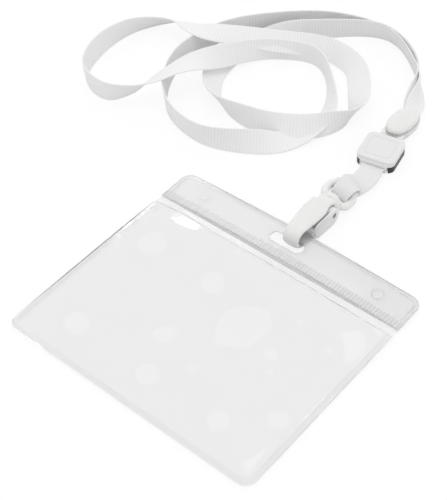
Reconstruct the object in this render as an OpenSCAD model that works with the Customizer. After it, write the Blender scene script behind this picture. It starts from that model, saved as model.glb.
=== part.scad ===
// Clear badge wallet that hangs by its slot from a swivel hook on a ribbon lanyard.
// Millimetres. X runs along the wallet's width, Y up the wallet, Z up from the surface it lies on.
// The origin is the centre of the wallet's flat back face.

/* [Wallet] */
// Width of the wallet
pouch_w = 110; // [90:1:140]
// Height of the wallet, with its header
pouch_h = 98.5; // [80:0.5:130]
// Radius of the wallet's corners
corner_r = 4.5; // [2:0.5:8]
// Thickness of one clear sheet
film_t = 0.35; // [0.2:0.05:0.6]
// Space for a card between the sheets
pocket_gap = 0.8; // [0.5:0.1:2]
// Width of the welded rim
weld_w = 2.4; // [1.5:0.1:4]
// Height of the header
header_h = 16; // [14:0.5:25]
// Thickness of the header's own layer
header_layer_t = 0.55; // [0.3:0.05:0.6]
// Height of the open mouth below the header
mouth_h = 3.8; // [2:0.1:8]
// Height of the ribbed weld band
rib_band_h = 3.7; // [2:0.1:5]
// Pitch of the ribs in the weld band
rib_pitch = 1.1; // [0.8:0.1:2]
// Outer diameter of the embossed rings
emboss_d = 5.3; // [3:0.1:7]
// Distance of an embossed ring from the middle
emboss_x = 40.3; // [25:0.1:42]
// Distance of an embossed ring from the top edge
emboss_drop = 7.3; // [5:0.1:9]
// Length of the hang slot
slot_l = 14.3; // [13:0.1:18]
// Height of the hang slot
slot_h = 5; // [4.8:0.1:6]
// Width of the strip above the hang slot
slot_strip = 4.9; // [4:0.1:5.1]
// Height of the header's lower end above the surface
header_end_z = 0.3; // [0.1:0.1:3]

/* [Hook] */
// Place of the hook's middle beside the wallet's middle
hook_x = 2.2; // [-2:0.1:2.2]
// Thickness of the hook's arm
arm_t = 1.8; // [1.8:0.1:2.4]
// Inner radius of the hook's bend
throat_r = 2.8; // [2.8:0.1:3.2]
// Width of the hook at its bend
bend_w = 6.8; // [5:0.1:6.8]
// Width of the hook at its head
head_w = 9.8; // [9.6:0.1:12]
// Distance from the bend's middle to the lever's pin
pin_reach = 15.2; // [14.8:0.1:18]
// Diameter of the lever's pin
pin_d = 1.6; // [1.2:0.1:1.8]
// Radius of the lever's ears
ear_r = 2.5; // [2.3:0.1:2.6]
// Diameter of the round collar at the hook's head
collar_d = 9; // [8:0.1:9.2]
// Length of the hook's collar
collar_l = 3.2; // [3:0.1:5]

/* [Swivel eye] */
// Width of the eye
eye_w = 13; // [12:0.1:16]
// Length of the eye's ring
eye_l = 9.5; // [9.5:0.1:12]
// Thickness of the eye
eye_t = 2.8; // [2.2:0.1:4]
// Thickness of each side of the eye
eye_side = 1.8; // [1.5:0.1:1.8]
// Diameter of the eye's far bar
eye_bar_d = 2.6; // [2:0.1:2.6]
// Diameter of the stem that turns in the hook
stem_d = 3; // [2:0.1:3.4]
// Turn of the eye in the hook, its right side down, in degrees
eye_turn = 18; // [0:1:20]

/* [Ribbon] */
// Width of the ribbon
ribbon_w = 10; // [9.6:0.1:12]
// Thickness of the ribbon
ribbon_t = 0.8; // [0.5:0.05:1]
// Length of the tab from the eye's bar to the buckle's near end
tab_l = 18.3; // [15:0.1:22]

/* [Buckle] */
// Width of the buckle
buckle_w = 15.8; // [15:0.1:20]
// Length of the buckle
buckle_l = 15.2; // [14:0.1:20]
// Height of the lower half
base_h = 2.9; // [2.8:0.1:5]
// Height of the upper half
cover_h = 2.5; // [2.3:0.1:4]
// Turn of the buckle from the wallet's axis, in degrees
buckle_yaw = 12; // [0:1:15]
// Length of bare ribbon between the buckle and the crimp
stub_l = 1.2; // [0.5:0.1:6]

/* [Crimp] */
// Length of the crimp
crimp_l = 18.2; // [15:0.1:22]
// Width of the crimp
crimp_w = 10.4; // [9:0.1:14]
// Height of the crimp
crimp_h = 6.8; // [6:0.1:9]

/* [Hidden] */
$fn = 48;

// Overrun of every cut past the face it cuts
cut = 0.5;

// Clearances
run_gap = 0.05;
loose_gap = 0.3;
fit_gap = 0.2;

// Hook heights: the bend is a half ring whose middle is the height of every hook axis
bend_r = throat_r + arm_t;
axis_z = bend_r;
upper_z = axis_z + throat_r;
half_share = 1/2;

// Wallet levels: the header lies in the middle of the hook's throat
header_t = film_t + header_layer_t;
header_z = axis_z - header_t*half_share;
strip_y = pouch_h*half_share - slot_strip*half_share;
slot_y = pouch_h*half_share - slot_strip - slot_h*half_share;
header_y = pouch_h*half_share - header_h;
front_top_y = header_y - mouth_h;
rise_end_y = front_top_y - mouth_h*half_share;
rise_l = 22;
rise_steps = 12;
ridge_lap = 0.1;

// Fall of the header from its ridge over the hook to each side, as a ratio
film_fall = (header_z - header_end_z)/(pouch_w*half_share + abs(hook_x));
header_turn = atan(film_fall);

// Beads and ribs of the wallet
bead_w = 0.6;
bead_h = 0.15;
bead_inset = 1.7;
rib_h = 0.12;
rib_w_share = 0.5;
emboss_line = 0.7;
emboss_h = 0.2;

// Hook: the bend's middle sits a little below the strip's middle
bend_shift = 1.7;
bend_y = strip_y - bend_shift;
nose_l = 6.2;
lap_l = 1.6;
lap_gap = 0.25;
tip_gap = 0.35;
plate_gap = 0.8;
wall_back = 1.7;
wall_h = 1.6;
nose_end_y = bend_y + nose_l;
pin_y = bend_y + pin_reach;
pin_z = 4.7;
ear_t = 1.9;
cheek_w = head_w - 2*ear_t - 2*loose_gap;
tongue_r = 2.1;
gate_t = 2.2;
collar_y = pin_y + ear_r + loose_gap;
collar_end_y = collar_y + collar_l;
knob_l = 0.9;
knob_r_step = 0.7;
collar_wall = 1.4;
taper_l = 11;

// Lever spring, round the pin between the cheeks
spring_w = 1.8;
spring_slot_w = 2.2;
spring_gap = 0.25;
spring_wire = 0.4;
spring_leg_d = 0.3;
spring_leg_up = 2.6;
spring_leg_down = 2.1;
spring_r = pin_d/2 + spring_gap + spring_wire;

// Eye: stem, shoulder, ring and far bar along the hook's axis
shoulder_l = 0.9;
shoulder_d = 7;
eye_y = collar_end_y + loose_gap;
ring_y = eye_y + shoulder_l - fit_gap;
eye_end_y = ring_y + eye_l;
bar_y = eye_end_y - eye_bar_d*half_share;
window_l = 4.4;
window_end_y = eye_end_y - eye_bar_d;
eye_corner_r = 4.2;
window_r = 1.4;

// Tab: a loop round the bar whose two layers close in and run down together into the buckle's lip
loop_r = eye_bar_d*half_share + loose_gap;
loop_w = eye_w - 2*eye_side - 2*fit_gap;
close_l = 4.4;
tab_sink = 1.4;
tab_end_y = bar_y + tab_l + tab_sink;
tab_end_z = 2.1;
stitch_d = 0.35;
stitch_l = 1.3;
stitch_pitch = 2;
stitch_rows = 3;
stitch_across = 4;
tab_steps = 4;
seam_l = 0.1;

// Buckle: its own frame has Y along the ribbon, its middle on the floor
buckle_shift = 1.9;
buckle_x = hook_x - buckle_shift;
buckle_y = bar_y + tab_l + buckle_l*half_share;
buckle_r = 2.6;
lip_w = 11.4;
lip_depth = 3;
lip_out = 0.8;
lip_low_z = 0.5;
groove_w = 0.5;
groove_depth = 0.25;
groove_inset = 2.4;
rail_w = 5;
rail_head_w = 8;
rail_stem_h = 0.5;
rail_head_h = 0.9;
rail_l = 8;
stub_z = 1.6;
stub_sink = 2.6;

// Crimp: an oval shell in two halves, its long axis along Y
crimp_shift = 4;
crimp_x = hook_x - crimp_shift;
crimp_y = buckle_y + buckle_l*half_share + stub_l + crimp_l*half_share;
crimp_steps = 48;
crimp_dome_r = 28;
crimp_dome_sides = 180;
crimp_split_z = crimp_h*half_share;
crimp_sink = 3;

// Neck ribbon: points x, y, z and roll in degrees about the run (0 stands on edge), chosen by hand.
// It leaves the crimp, goes round the loops and comes back to the crimp on the other layer.
// The points belong to a crimp whose middle is at route_home, and move with the crimp.
ribbon_sides = 8;
ribbon_rings = 2;
route_home = [-1.8, 119.3, 0, 0];
route_points = [
    [-1.8, 125.3, 3.9, 90], [-7.1, 138.5, 4.8, 8], [-18.8, 153.7, 4.5, 22], [-38, 163.8, 4.5, 25],
    [-60, 160.1, 4.6, 22], [-82, 142.8, 5, 6], [-98, 119.8, 5, -8], [-101, 95.8, 5, -10],
    [-83.5, 69.3, 5, -3], [-61, 64.8, 5, 3], [-44.5, 73.3, 4, 35], [-34, 85.8, 1.4, 82],
    [-29.6, 105.3, 1.8, 125], [-37.5, 119.1, 4.6, 165], [-55.3, 131.7, 5, 180], [-71, 124.8, 5.5, 172],
    [-84.5, 103.8, 8.5, 140], [-90.7, 83.8, 12.3, 79], [-95.9, 74.3, 9.6, 62], [-102.2, 66.9, 6.4, 30],
    [-110.2, 61.3, 5, 4], [-126, 64.3, 4.9, 4], [-134.3, 81.8, 4.9, 10], [-131, 102.8, 4.7, -17],
    [-121, 113.8, 4.8, -45], [-99, 111.8, 10.5, -94], [-75, 124.8, 8.6, -120], [-48, 139.3, 4.6, -136],
    [-39, 137.3, 4.3, -125], [-27.6, 125.8, 3, -113], [-20.4, 109.6, 4.4, -160],
    [-27.5, 97.8, 4.6, -214], [-50, 84.8, 4.6, -203], [-71, 85.8, 4.5, -150], [-82.5, 96.8, 3, -125],
    [-86, 120.8, 1.2, -98], [-66, 146.3, 4.6, -170], [-39.3, 163, 4.9, -192], [-13.6, 148.3, 4.9, -184],
    [-1.8, 125.3, 2.9, -270]];
strap_route = [for (p = route_points) p - route_home + [crimp_x, crimp_y, 0, 0]];

// Plain shapes

// A flat slab with round corners, centred on X and Y and standing on z = 0
module slab(w, l, r, h) {
    translate([-w/2 + r, -l/2, 0]) cube([w - 2*r, l, h]);
    translate([-w/2, -l/2 + r, 0]) cube([w, l - 2*r, h]);
    for (sx = [-1, 1], sy = [-1, 1])
        translate([sx*(w/2 - r), sy*(l/2 - r), 0]) cylinder(r = r, h = h);
}

// A slot with round ends, centred, its length along X
module slot(l, h, depth) {
    for (sx = [-1, 1]) translate([sx*(l - h)/2, 0, 0]) cylinder(d = h, h = depth);
    translate([-(l - h)/2, -h/2, 0]) cube([l - h, h, depth]);
}

// A cylinder along X, centred on x = 0
module rod_x(d, l) {
    translate([-l/2, 0, 0]) rotate([0, 90, 0]) cylinder(d = d, h = l);
}

// A profile drawn as (y, z) and extruded along X, centred
module along_x(w) {
    translate([-w/2, 0, 0]) rotate([90, 0, 90]) linear_extrude(height = w) children();
}

// Wallet

// Height of the back sheet's underside: flat, then a smooth rise to the header, whose ridge is at the hook
function rise_share(u) = u <= 0 ? 0 : u >= 1 ? 1 : u*u*(3 - 2*u);
function back_z(x, y) = rise_share((y - rise_end_y + rise_l)/rise_l)
    *(header_z - film_fall*abs(x - hook_x));
rise_ys = [for (i = [0:rise_steps]) rise_end_y - rise_l + rise_l*i/rise_steps];
sheet_xs = [-pouch_w/2 - cut, hook_x, pouch_w/2 + cut];

// A sheet that follows the back sheet at a height above it, from y0 to y1, wider than the wallet
module sheet(y0, y1, lift, t) {
    ys = concat([y0], [for (y = rise_ys) if (y > y0 && y < y1) y], [y1]);
    nx = len(sheet_xs);
    ny = len(ys);
    layer = nx*ny;
    points = [for (h = [lift, lift + t], y = ys, x = sheet_xs) [x, y, back_z(x, y) + h]];
    // Two triangles of one square of the lower layer, whose first corner is point a
    flat = [for (j = [0:ny - 2], i = [0:nx - 2]) let (a = j*nx + i)
        each [[a, a + 1, a + nx + 1], [a, a + nx + 1, a + nx]]];
    edge = concat([for (i = [0:nx - 1]) i], [for (j = [1:ny - 1]) j*nx + nx - 1],
        [for (i = [nx - 2:-1:0]) (ny - 1)*nx + i], [for (j = [ny - 2:-1:1]) j*nx]);
    walls = [for (k = [0:len(edge) - 1]) let (a = edge[k], b = edge[(k + 1) % len(edge)])
        each [[a, a + layer, b + layer], [a, b + layer, b]]];
    upper = [for (f = flat) [f[2] + layer, f[1] + layer, f[0] + layer]];
    polyhedron(points = points, faces = concat(flat, upper, walls));
}

module wallet_outline(inset = 0) {
    translate([0, 0, -header_z]) slab(pouch_w - 2*inset, pouch_h - 2*inset, corner_r - inset/2, 4*header_z);
}

module hang_slot() {
    fall = film_fall*slot_l;
    translate([0, slot_y, header_z - fall - cut]) slot(slot_l, slot_h, header_t + fall + 2*cut);
}

module back_panel() color([0.93, 0.93, 0.94, 0.5]) difference() {
    intersection() {
        sheet(-pouch_h/2 - cut, pouch_h/2 + cut, 0, film_t);
        wallet_outline();
    }
    hang_slot();
}

module edge_weld() color([0.9, 0.9, 0.91, 0.6]) difference() {
    intersection() {
        sheet(-pouch_h/2 - cut, front_top_y, film_t, pocket_gap);
        wallet_outline();
    }
    translate([-pouch_w/2 + weld_w, -pouch_h/2 + weld_w, -cut])
        cube([pouch_w - 2*weld_w, pouch_h, 4*header_z]);
}

module front_panel() color([0.95, 0.95, 0.96, 0.5]) intersection() {
    union() {
        sheet(-pouch_h/2 - cut, front_top_y, film_t + pocket_gap, film_t);
        intersection() {
            sheet(-pouch_h/2 - cut, front_top_y, film_t + pocket_gap + film_t/2, film_t/2 + bead_h);
            difference() {
                wallet_outline(bead_inset);
                wallet_outline(bead_inset + bead_w);
            }
        }
    }
    wallet_outline();
}

// The header's own layer as if it lay level, wider than the wallet
module level_header() {
    top_z = header_z + header_t;
    translate([-pouch_w/2 - cut, header_y, header_z + film_t])
        cube([pouch_w + 2*cut, header_h + cut, header_layer_t]);
    // Bead round the header's sides and top
    intersection() {
        translate([-pouch_w/2, header_y + rib_band_h, top_z - header_layer_t/2])
            cube([pouch_w, header_h, header_layer_t/2 + bead_h]);
        difference() {
            wallet_outline(bead_inset);
            wallet_outline(bead_inset + bead_w);
        }
    }
    // Ribs of the weld band
    rib_count = floor((pouch_w - 2*corner_r)/rib_pitch);
    for (i = [0:rib_count - 1])
        translate([(i - (rib_count - 1)/2 - rib_w_share/2)*rib_pitch, header_y, top_z - header_layer_t/2])
            cube([rib_pitch*rib_w_share, rib_band_h, header_layer_t/2 + rib_h]);
    // Embossed rings
    for (sx = [-1, 1]) translate([sx*emboss_x, pouch_h/2 - emboss_drop, top_z]) difference() {
        cylinder(d = emboss_d, h = emboss_h);
        translate([0, 0, -cut]) cylinder(d = emboss_d - 2*emboss_line, h = emboss_h + 2*cut);
    }
}

// The header falls from its ridge to both sides
module header_strip() color([0.88, 0.88, 0.89, 0.6]) difference() {
    intersection() {
        for (side = [-1, 1])
            translate([hook_x, 0, header_z]) rotate([0, side*header_turn, 0])
                translate([-hook_x, 0, -header_z]) intersection() {
                    level_header();
                    translate([hook_x + (side - 1)*pouch_w/2 - ridge_lap, 0, 0])
                        cube([pouch_w + 2*ridge_lap, pouch_h, 3*header_z]);
                }
        wallet_outline();
    }
    hang_slot();
}

// Hook

// Plan of the hook: the bend's width, widening to the head's
module hook_plan(h) {
    w0 = bend_w/2;
    w1 = head_w/2;
    y0 = bend_y - bend_r - cut;
    linear_extrude(height = h) polygon([[-w0, y0], [w0, y0], [w0, bend_y], [w1, bend_y + taper_l],
        [w1, collar_end_y], [-w1, collar_end_y], [-w1, bend_y + taper_l], [-w0, bend_y]]);
}

// Side of the hook's arms: half ring, upper arm to the collar, nose with a half lap
module hook_side() {
    difference() {
        translate([bend_y, axis_z]) circle(r = bend_r);
        translate([bend_y, axis_z]) circle(r = throat_r);
        translate([bend_y, -cut]) square([bend_r + cut, 2*bend_r + 2*cut]);
    }
    translate([bend_y, upper_z]) square([collar_y - bend_y, arm_t]);
    translate([bend_y, 0]) square([nose_l, arm_t]);
    translate([nose_end_y - cut, 0]) square([lap_l + cut, arm_t/2]);
}

module hook_body() color([0.94, 0.94, 0.94]) translate([hook_x, 0, 0]) difference() {
    union() {
        intersection() {
            along_x(head_w) hook_side();
            hook_plan(2*bend_r);
        }
        // Tongue that holds the pin
        along_x(cheek_w) {
            translate([pin_y, pin_z]) circle(r = tongue_r);
            translate([pin_y - tongue_r, pin_z]) square([2*tongue_r, upper_z - pin_z + arm_t/2]);
        }
        // Round collar that holds the eye's stem
        translate([0, collar_y, axis_z]) rotate([-90, 0, 0]) cylinder(d = collar_d, h = collar_l);
        // Web between the tongue and the collar, under the arm
        translate([-cheek_w/2, pin_y, pin_z + tongue_r])
            cube([cheek_w, collar_y - pin_y + collar_wall, upper_z - pin_z - tongue_r + arm_t/2]);
    }
    // Bore for the pin
    translate([0, pin_y, pin_z]) rod_x(pin_d, head_w);
    // Room for the spring
    translate([-spring_slot_w/2, pin_y - tongue_r - cut, pin_z - tongue_r - cut])
        cube([spring_slot_w, 2*tongue_r + 2*cut, tongue_r + cut + spring_leg_up]);
    // Bore for the stem and room for its knob
    translate([0, collar_y - cut, axis_z]) rotate([-90, 0, 0]) {
        cylinder(d = stem_d + 2*run_gap, h = collar_l + 2*cut);
        cylinder(d = stem_d + 2*knob_r_step + 2*fit_gap, h = collar_l - collar_wall + cut);
    }
}

module hook_gate() color([0.92, 0.92, 0.92]) translate([hook_x, 0, 0]) {
    plate_y = nose_end_y + lap_l + plate_gap;
    tip_y = nose_end_y + tip_gap;
    tip_z = arm_t/2 + lap_gap;
    wall_y = plate_y + wall_back;
    difference() {
        union() {
            // Plate along the floor, its tip on top of the nose's lap
            intersection() {
                along_x(head_w) {
                    translate([plate_y, 0]) square([pin_y + ear_r/2 - plate_y, gate_t]);
                    translate([tip_y, tip_z]) square([plate_y - tip_y + cut, gate_t - tip_z]);
                }
                hook_plan(bend_r);
            }
            // Ears
            for (sx = [-1, 1]) translate([sx*(head_w - ear_t)/2, 0, 0]) along_x(ear_t) {
                translate([pin_y, pin_z]) circle(r = ear_r);
                translate([pin_y - ear_r, gate_t/2]) square([ear_r + ear_r/2, pin_z - gate_t/2]);
                // Side wall, falling from the ear to the plate
                polygon([[wall_y, gate_t/2], [wall_y, gate_t + wall_h],
                    [pin_y - ear_r*cos(45), pin_z + ear_r*sin(45)], [pin_y, pin_z], [pin_y, gate_t/2]]);
            }
        }
        translate([0, pin_y, pin_z]) rod_x(pin_d + 2*run_gap, head_w + 2*cut);
    }
}

module gate_pin() color([0.7, 0.7, 0.72]) translate([hook_x, pin_y, pin_z]) rod_x(pin_d, head_w - run_gap);

module gate_spring() color([0.6, 0.6, 0.62]) translate([hook_x, pin_y, pin_z]) {
    difference() {
        rod_x(2*spring_r, spring_w);
        rod_x(2*spring_r - 2*spring_wire, spring_w + 2*cut);
    }
    leg_y = -spring_r + spring_wire/2;
    leg_x = spring_w/2 - spring_wire/2;
    translate([leg_x, leg_y, 0]) cylinder(d = spring_leg_d, h = spring_leg_up);
    translate([-leg_x, leg_y, -spring_leg_down]) cylinder(d = spring_leg_d, h = spring_leg_down);
}

// Swivel eye

// What turns with the eye about the hook's axis
module at_eye() {
    translate([hook_x, 0, axis_z]) rotate([0, eye_turn, 0]) translate([0, 0, -axis_z]) children();
}

module swivel_eye() color([0.94, 0.94, 0.94]) at_eye() {
    ring_mid_y = ring_y + eye_l/2;
    ring_z = axis_z - eye_t/2;
    // Stem with its knob
    translate([0, collar_end_y - collar_wall - fit_gap - knob_l, axis_z]) rotate([-90, 0, 0]) {
        cylinder(d = stem_d, h = knob_l + collar_wall + fit_gap + loose_gap + shoulder_l);
        cylinder(d = stem_d + 2*knob_r_step, h = knob_l);
    }
    // Shoulder
    translate([0, eye_y, axis_z]) rotate([-90, 0, 0]) cylinder(d = shoulder_d, h = shoulder_l);
    // Ring with its window and round far bar
    difference() {
        translate([0, ring_mid_y, ring_z]) slab(eye_w, eye_l, eye_corner_r, eye_t);
        translate([0, window_end_y - window_l/2, ring_z - cut])
            slab(eye_w - 2*eye_side, window_l, window_r, eye_t + 2*cut);
        translate([-loop_w/2 - fit_gap, bar_y - loop_r - ribbon_t - fit_gap, ring_z - cut])
            cube([loop_w + 2*fit_gap, loop_r + ribbon_t + eye_bar_d, eye_t + 2*cut]);
    }
    translate([0, bar_y, axis_z]) rod_x(eye_bar_d, loop_w + 2*fit_gap + 2*run_gap);
}

// Tab

// Place on the doubled ribbon between the loop and its end: it goes down and turns level
function tab_at(y) = let (u = (y - bar_y - close_l)/(tab_end_y - bar_y - close_l))
    [axis_z + (tab_end_z - axis_z)*u, eye_turn*(1 - u)];

module at_tab(y) {
    translate([hook_x, y, tab_at(y)[0]]) rotate([0, tab_at(y)[1], 0]) children();
}

module tab_strap() color([0.93, 0.93, 0.93]) {
    y_close = bar_y + close_l;
    loop_out = loop_r + ribbon_t;
    // Loop whose layers close in
    at_eye() along_x(loop_w) difference() {
        union() {
            translate([bar_y, axis_z]) circle(r = loop_out);
            polygon([[bar_y, axis_z + loop_out], [y_close, axis_z + ribbon_t], [y_close, axis_z - ribbon_t],
                [bar_y, axis_z - loop_out]]);
        }
        translate([bar_y, axis_z]) circle(r = loop_r);
        polygon([[bar_y, axis_z + loop_r], [y_close, axis_z], [bar_y, axis_z - loop_r]]);
    }
    // Both layers together, down into the buckle's lip
    step = (tab_end_y - y_close)/tab_steps;
    for (i = [0:tab_steps - 1]) hull()
        for (k = [i, i + 1]) at_tab(y_close + k*step)
            translate([-ribbon_w/2, -seam_l*k/tab_steps, -ribbon_t]) cube([ribbon_w, seam_l, 2*ribbon_t]);
}

module tab_stitches() color([0.97, 0.97, 0.97])
    for (i = [0:stitch_across - 1], j = [1:stitch_rows], side = [-1, 1])
        at_tab(bar_y + close_l + stitch_pitch*j)
            translate([(i - (stitch_across - 1)/2)*stitch_pitch, 0, side*ribbon_t])
                rod_x(stitch_d, stitch_l);

// Buckle

module at_buckle() {
    translate([buckle_x, buckle_y, 0]) rotate([0, 0, buckle_yaw]) children();
}

module buckle_cover() color([0.95, 0.95, 0.95]) at_buckle() difference() {
    z0 = base_h + run_gap;
    union() {
        translate([0, 0, z0]) slab(buckle_w, buckle_l, buckle_r, cover_h);
        translate([-lip_w/2, -buckle_l/2 - lip_out, lip_low_z])
            cube([lip_w, lip_depth + lip_out, z0 - lip_low_z + cover_h/2]);
    }
    // Square groove on top
    translate([0, 0, z0 + cover_h - groove_depth]) difference() {
        slab(buckle_w - 2*groove_inset, buckle_l - 2*groove_inset, buckle_r/2, cut + groove_depth);
        translate([0, 0, -cut]) slab(buckle_w - 2*groove_inset - 2*groove_w,
            buckle_l - 2*groove_inset - 2*groove_w, buckle_r/2, 2*cut + groove_depth);
    }
    // Channel for the rail, open at the far end
    channel_y = buckle_l/2 - rail_l - fit_gap;
    translate([-rail_w/2 - fit_gap, channel_y, base_h - cut])
        cube([rail_w + 2*fit_gap, buckle_l, rail_stem_h + cut + fit_gap]);
    translate([-rail_head_w/2 - fit_gap, channel_y, base_h + rail_stem_h - fit_gap])
        cube([rail_head_w + 2*fit_gap, buckle_l, rail_head_h + 2*fit_gap]);
}

module buckle_base() color([0.2, 0.18, 0.18]) at_buckle() {
    difference() {
        slab(buckle_w, buckle_l, buckle_r, base_h);
        // Room for the cover's lip
        translate([-lip_w/2 - loose_gap, -buckle_l/2 - cut, -cut])
            cube([lip_w + 2*loose_gap, lip_depth + loose_gap + cut, base_h + 2*cut]);
    }
    rail_y = buckle_l/2 - rail_l;
    translate([-rail_w/2, rail_y, base_h]) cube([rail_w, rail_l, rail_stem_h]);
    translate([-rail_head_w/2, rail_y, base_h + rail_stem_h]) cube([rail_head_w, rail_l, rail_head_h]);
}

// Doubled ribbon from the crimp into the buckle's lower half
module strap_stub() color([0.93, 0.93, 0.93]) {
    c = cos(buckle_yaw);
    s = sin(buckle_yaw);
    end_y = buckle_l/2 - stub_sink;
    ax = buckle_x - s*end_y;
    ay = buckle_y + c*end_y;
    bx = crimp_x;
    by = crimp_y - crimp_l/2 + crimp_sink;
    hw = ribbon_w/2;
    translate([0, 0, stub_z - ribbon_t]) linear_extrude(height = 2*ribbon_t)
        polygon([[ax - hw*c, ay - hw*s], [ax + hw*c, ay + hw*s], [bx + hw, by], [bx - hw, by]]);
}

// Crimp

module oval(l, w, h) {
    linear_extrude(height = h)
        polygon([for (i = [0:crimp_steps - 1]) [w/2*cos(360*i/crimp_steps), l/2*sin(360*i/crimp_steps)]]);
}

// One half with its domed top; the ribbons run into it where the halves meet
module crimp_half() intersection() {
    oval(crimp_l, crimp_w, crimp_split_z);
    translate([0, 0, crimp_split_z - crimp_dome_r]) sphere(r = crimp_dome_r, $fn = crimp_dome_sides);
}

module crimp_front() color([0.95, 0.95, 0.95])
    translate([crimp_x, crimp_y, crimp_split_z]) crimp_half();

module crimp_back() color([0.95, 0.95, 0.95])
    translate([crimp_x, crimp_y, crimp_split_z]) mirror([0, 0, 1]) crimp_half();

// Neck ribbon, swept along its route

route_n = len(strap_route);
seg_d = [for (i = [0:route_n - 2]) norm([for (k = [0:2]) strap_route[i + 1][k] - strap_route[i][k]])];
seg_v = [for (i = [0:route_n - 2]) (strap_route[i + 1] - strap_route[i])/seg_d[i]];
node_v = [for (i = [0:route_n - 1]) i == 0 ? seg_v[0] : i == route_n - 1 ? seg_v[route_n - 2]
    : (seg_v[i]*seg_d[i - 1] + seg_v[i - 1]*seg_d[i])/(seg_d[i - 1] + seg_d[i])];

// Point and roll at share t of segment i
function route_at(i, t) = (2*t*t*t - 3*t*t + 1)*strap_route[i] + (t*t*t - 2*t*t + t)*seg_d[i]*node_v[i]
    + (3*t*t - 2*t*t*t)*strap_route[i + 1] + (t*t*t - t*t)*seg_d[i]*node_v[i + 1];
route_pts = [for (i = [0:route_n - 2], j = [0:ribbon_rings - 1]) route_at(i, j/ribbon_rings),
    strap_route[route_n - 1]];
ring_n = len(route_pts);
function xyz(p) = [p[0], p[1], p[2]];
function unit(v) = v/norm(v);
function run_dir(i) = unit(xyz(route_pts[min(i + 1, ring_n - 1)]) - xyz(route_pts[max(i - 1, 0)]));

// Flat ring of eight points: rounded long edges, kept on the surface it lies on
ring_shares = [[1, 0.5], [1, -0.5], [0.5, -1], [-0.5, -1], [-1, -0.5], [-1, 0.5], [-0.5, 1], [0.5, 1]];
function ring_at(i) = let (t = run_dir(i), n = unit([-t[1], t[0], 0]), b = cross(t, n), a = route_pts[i][3],
    wide = cos(a)*b + sin(a)*n, thick = cross(t, wide), o = xyz(route_pts[i]))
    [for (s = ring_shares) let (q = o + s[0]*wide*ribbon_w/2 + s[1]*thick*ribbon_t/2)
        [q[0], q[1], max(0, q[2])]];

module neck_strap() color([0.94, 0.94, 0.94]) {
    rings = [for (i = [0:ring_n - 1]) ring_at(i)];
    points = [for (r = rings) each r];
    sides = [for (i = [0:ring_n - 2], k = [0:ribbon_sides - 1]) let (m = (k + 1) % ribbon_sides)
        each [[i*ribbon_sides + k, i*ribbon_sides + m, (i + 1)*ribbon_sides + m],
            [i*ribbon_sides + k, (i + 1)*ribbon_sides + m, (i + 1)*ribbon_sides + k]]];
    last = (ring_n - 1)*ribbon_sides;
    caps = [[for (k = [ribbon_sides - 1:-1:0]) k], [for (k = [0:ribbon_sides - 1]) last + k]];
    polyhedron(points = points, faces = concat(sides, caps));
}

back_panel();
front_panel();
edge_weld();
header_strip();
hook_body();
hook_gate();
gate_pin();
gate_spring();
swivel_eye();
tab_strap();
tab_stitches();
buckle_cover();
buckle_base();
strap_stub();
crimp_front();
crimp_back();
neck_strap();
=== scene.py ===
"""ID badge wallet on a ribbon lanyard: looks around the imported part.

The row frame has its origin at the centre of the wallet's back face, X along its width, Y up it."""
import math

import bpy
import bmesh
import numpy as np
from mathutils import Matrix, Vector, geometry, noise


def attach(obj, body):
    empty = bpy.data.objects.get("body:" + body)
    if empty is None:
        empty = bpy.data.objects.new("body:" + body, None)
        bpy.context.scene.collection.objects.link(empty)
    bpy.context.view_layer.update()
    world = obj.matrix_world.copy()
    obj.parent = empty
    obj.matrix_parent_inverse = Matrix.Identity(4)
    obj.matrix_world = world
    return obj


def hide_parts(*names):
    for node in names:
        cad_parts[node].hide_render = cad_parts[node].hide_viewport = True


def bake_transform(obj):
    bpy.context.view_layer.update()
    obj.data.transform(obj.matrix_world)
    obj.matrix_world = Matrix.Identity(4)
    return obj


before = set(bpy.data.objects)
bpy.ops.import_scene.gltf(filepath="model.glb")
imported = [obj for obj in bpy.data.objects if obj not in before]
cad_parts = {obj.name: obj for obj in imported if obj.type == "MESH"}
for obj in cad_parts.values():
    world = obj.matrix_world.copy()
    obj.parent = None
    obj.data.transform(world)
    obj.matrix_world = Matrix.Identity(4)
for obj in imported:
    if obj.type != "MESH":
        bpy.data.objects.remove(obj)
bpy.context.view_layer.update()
MM = 0.001
scene = bpy.context.scene
scene.view_settings.view_transform = "Standard"
scene.render.film_transparent = False

# ---------------------------------------------------------------- camera
cam_data = bpy.data.cameras.new("camera")
cam = bpy.data.objects.new("camera", cam_data)
scene.collection.objects.link(cam)
scene.camera = cam
cam_data.sensor_fit = "AUTO"
cam_data.sensor_width = 36
cam_data.lens = 88.504
cam_data.clip_start = 0.02
cam_data.clip_end = 20
look = Matrix(((0.76727, -0.44899, 0.45793), (0.63988, 0.58384, -0.49969), (-0.04300, 0.67642, 0.73526)))
cam.matrix_world = Matrix.Translation((0.19170, -0.20269, 0.33533)) @ look.to_4x4()

# ---------------------------------------------------------------- named values: lengths in mm, turns in degrees
POUCH_W, POUCH_H, CORNER_R = 110.0, 98.5, 4.5
FILM_T, HEADER_T2 = 0.35, 0.55
HEADER_Y, FRONT_TOP = 33.25, 29.45
SLOT_L, SLOT_H, SLOT_Y = 15.0, 5.2, 41.4
HOOK_X = 2.2
AXIS_Z = 4.6
PIN_Y, PIN_Z = 60.6, 4.7
BAR_Y, BAR_R = 75.5, 1.3
EYE_TURN = 18.0
CHEEK = 2.6                      # half width of the hook's ears
WALL_IN = 4.5                    # inner side of the lever's walls, from the hook's middle
EYE_Y, EYE_HALF_W, EYE_HALF_L = 71.0, 5.4, 4.5
BUCKLE = (0.3, 101.4, 12.0)      # x, y and turn
CRIMP = (-1.8, 119.3)
CRIMP_SEAM_Z = 4.3
TAB_W = 9.7
DRAW_X, DRAW_Y = 0.9, 1.1        # how far the rise draws in the wallet's upper edge
HALF_RISE = 57.0                 # from the hook to where the rise ends, along the header
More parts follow.
